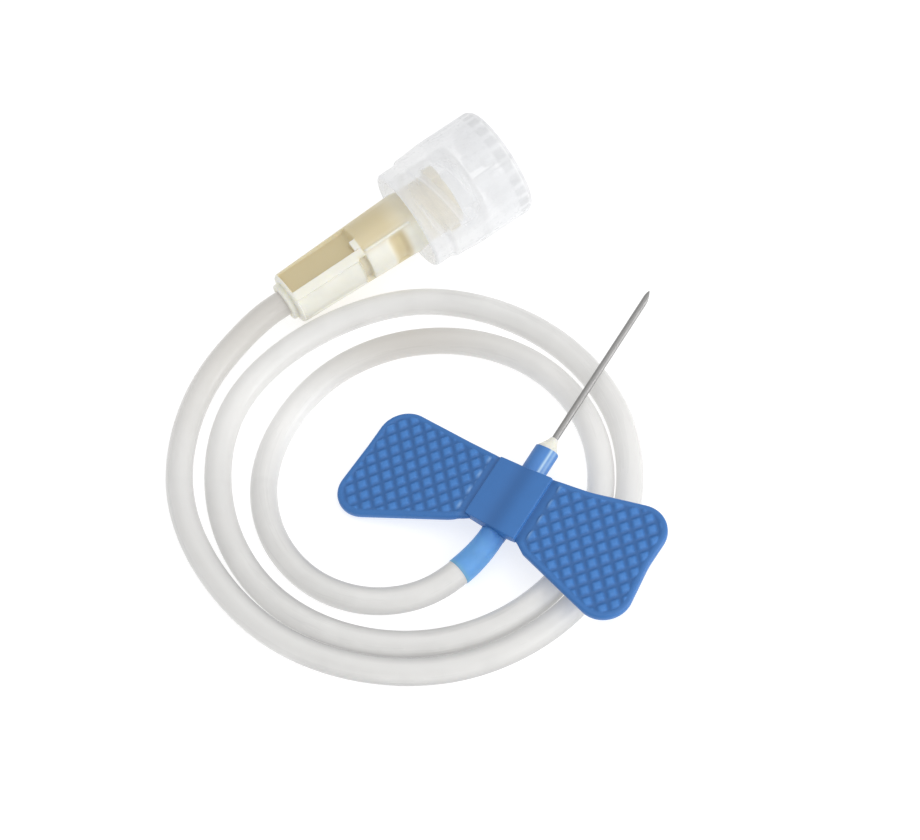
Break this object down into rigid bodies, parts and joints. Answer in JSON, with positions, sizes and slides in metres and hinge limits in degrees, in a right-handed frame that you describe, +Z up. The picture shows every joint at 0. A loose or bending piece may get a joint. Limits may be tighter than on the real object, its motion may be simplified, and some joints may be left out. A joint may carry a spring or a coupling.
{
  "type": "butterfly needle",
  "caption": "Winged infusion needle with a coiled clear tube, two textured folding wings and a capped luer connector.",
  "frame": {"origin": "on the table, at the centre of the winged needle's bounding box (the tube, connector and cap are left out of it)", "axes": "+Z up from the table, -Y towards the viewer of the source picture, +X to the viewer's right"},
  "size_m": [0.0469, 0.0596, 0.0124],
  "materials": {
    "needle_steel": "polished",
    "ivory_plastic": "satin",
    "wing_blue": "satin",
    "sleeve_blue": "translucent satin",
    "clear_tube": "frosted clear",
    "clear_cap": "clear"
  },
  "bodies": {
    "set": {"needle_tube": "needle_steel", "needle_holder": "ivory_plastic", "hub_barrel": "wing_blue", "wing_saddle": "wing_blue", "tube_sleeve": "sleeve_blue", "tubing": "clear_tube", "luer_hub": "ivory_plastic"},
    "left_wing": {"left_wing": "wing_blue"},
    "right_wing": {"right_wing": "wing_blue"},
    "cap": {"luer_cap": "clear_cap"}
  },
  "joints": [
    {"name": "left_wing_fold", "type": "hinge", "parent": "set", "child": "left_wing", "pos_m": [-0.0017, -0.00303, 0.0032], "axis": [0.5093, 0.8578, 0.0698], "range_deg": [0, 85], "stiffness_Nm_per_rad": 0.0002},
    {"name": "right_wing_fold", "type": "hinge", "parent": "set", "child": "right_wing", "pos_m": [0.00337, -0.00611, 0.00414], "axis": [-0.5093, -0.8578, -0.0698], "range_deg": [0, 85], "stiffness_Nm_per_rad": 0.0002},
    {"name": "cap_pull", "type": "slide", "parent": "set", "child": "cap", "axis": [0.8184, 0.552, 0.1599], "range_m": [0, 0.012]}
  ]
}
